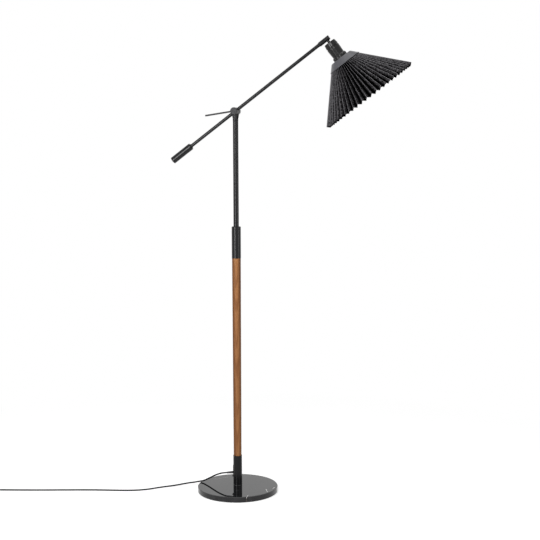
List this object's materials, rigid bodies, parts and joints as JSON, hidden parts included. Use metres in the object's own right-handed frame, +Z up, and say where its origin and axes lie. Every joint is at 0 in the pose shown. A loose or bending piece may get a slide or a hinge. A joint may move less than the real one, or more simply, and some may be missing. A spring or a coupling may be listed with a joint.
{
  "type": "bridge floor lamp",
  "caption": "Bridge floor lamp: black marble foot, wood and steel pole, tilting counterweighted arm with a clamp lever, and a swivelling head with a pleated fabric shade.",
  "frame": {"origin": "centre of the foot's underside, on the floor", "axes": "+Z up along the pole, +X towards the lamp head, +Y away from the clamp knob"},
  "size_m": [1.4619, 0.3976, 1.4964],
  "materials": {
    "marble": "polished black marble with thin white veins",
    "felt": "pressed wool felt",
    "steel": "zinc-plated",
    "black_metal": "satin black lacquer",
    "hub_metal": "satin gunmetal lacquer on turned steel",
    "dark_screw": "blackened",
    "relief_rubber": "matt",
    "walnut": "satin varnish, straight grain",
    "fibre": "vulcanised fibre",
    "cord_sheath": "satin",
    "holder_metal": "satin black lacquer",
    "porcelain": "glazed",
    "brass": "plain",
    "collar_metal": "satin dark grey lacquer on spun steel",
    "shade_fabric": "slubby charcoal weave, stiffened and pleated",
    "tie_strap": "matt",
    "plug_plastic": "moulded",
    "plug_brass": "nickelled"
  },
  "bodies": {
    "stand": {"base_disc": "marble", "felt_pad": "felt", "base_washer": "steel", "base_nut": "steel", "tie_tube": "steel", "lower_collar": "black_metal", "collar_plug": "steel", "outlet_plate": "black_metal", "outlet_screw": "dark_screw", "strain_relief": "relief_rubber", "wood_pole": "walnut", "upper_sleeve": "black_metal", "sleeve_bush": "black_metal", "upper_pole": "black_metal", "pole_yoke": "hub_metal", "hub_nut": "hub_metal", "pole_lead": "cord_sheath", "cord_lead": "cord_sheath", "cord_coil": "cord_sheath", "coil_tie": "tie_strap", "cord_tail": "cord_sheath", "plug_body": "plug_plastic", "plug_pins": "plug_brass"},
    "clamp": {"clamp_knob": "hub_metal", "clamp_lever": "hub_metal"},
    "arm": {"arm_block": "hub_metal", "fibre_washers": "fibre", "lower_arm": "black_metal", "counterweight": "black_metal", "weight_ring": "black_metal", "upper_arm": "black_metal", "swivel_pin": "steel", "arm_lead": "cord_sheath"},
    "head": {"swivel_sleeve": "black_metal", "retaining_screw": "dark_screw", "neck_nipple": "black_metal", "head_lead": "cord_sheath", "holder_cap": "holder_metal", "holder_body": "holder_metal", "upper_ring": "holder_metal", "lower_ring": "holder_metal", "socket_core": "porcelain", "terminal_screws": "brass", "socket_shell": "brass", "centre_contact": "brass", "shade_collar": "collar_metal", "pleated_shade": "shade_fabric"}
  },
  "joints": [
    {"name": "arm_tilt", "type": "hinge", "parent": "stand", "child": "arm", "pos_m": [0, 0, 1.262], "axis": [0, -1, 0], "range_deg": [-60, 23]},
    {"name": "clamp_turn", "type": "hinge", "parent": "stand", "child": "clamp", "pos_m": [0, -0.0177, 1.262], "axis": [0, -1, 0], "range_deg": [0, 150]},
    {"name": "head_swivel", "type": "hinge", "parent": "arm", "child": "head", "pos_m": [0.29977, 0, 1.48463], "axis": [0.8028, 0, 0.5962], "range_deg": [-85, 70]}
  ]
}
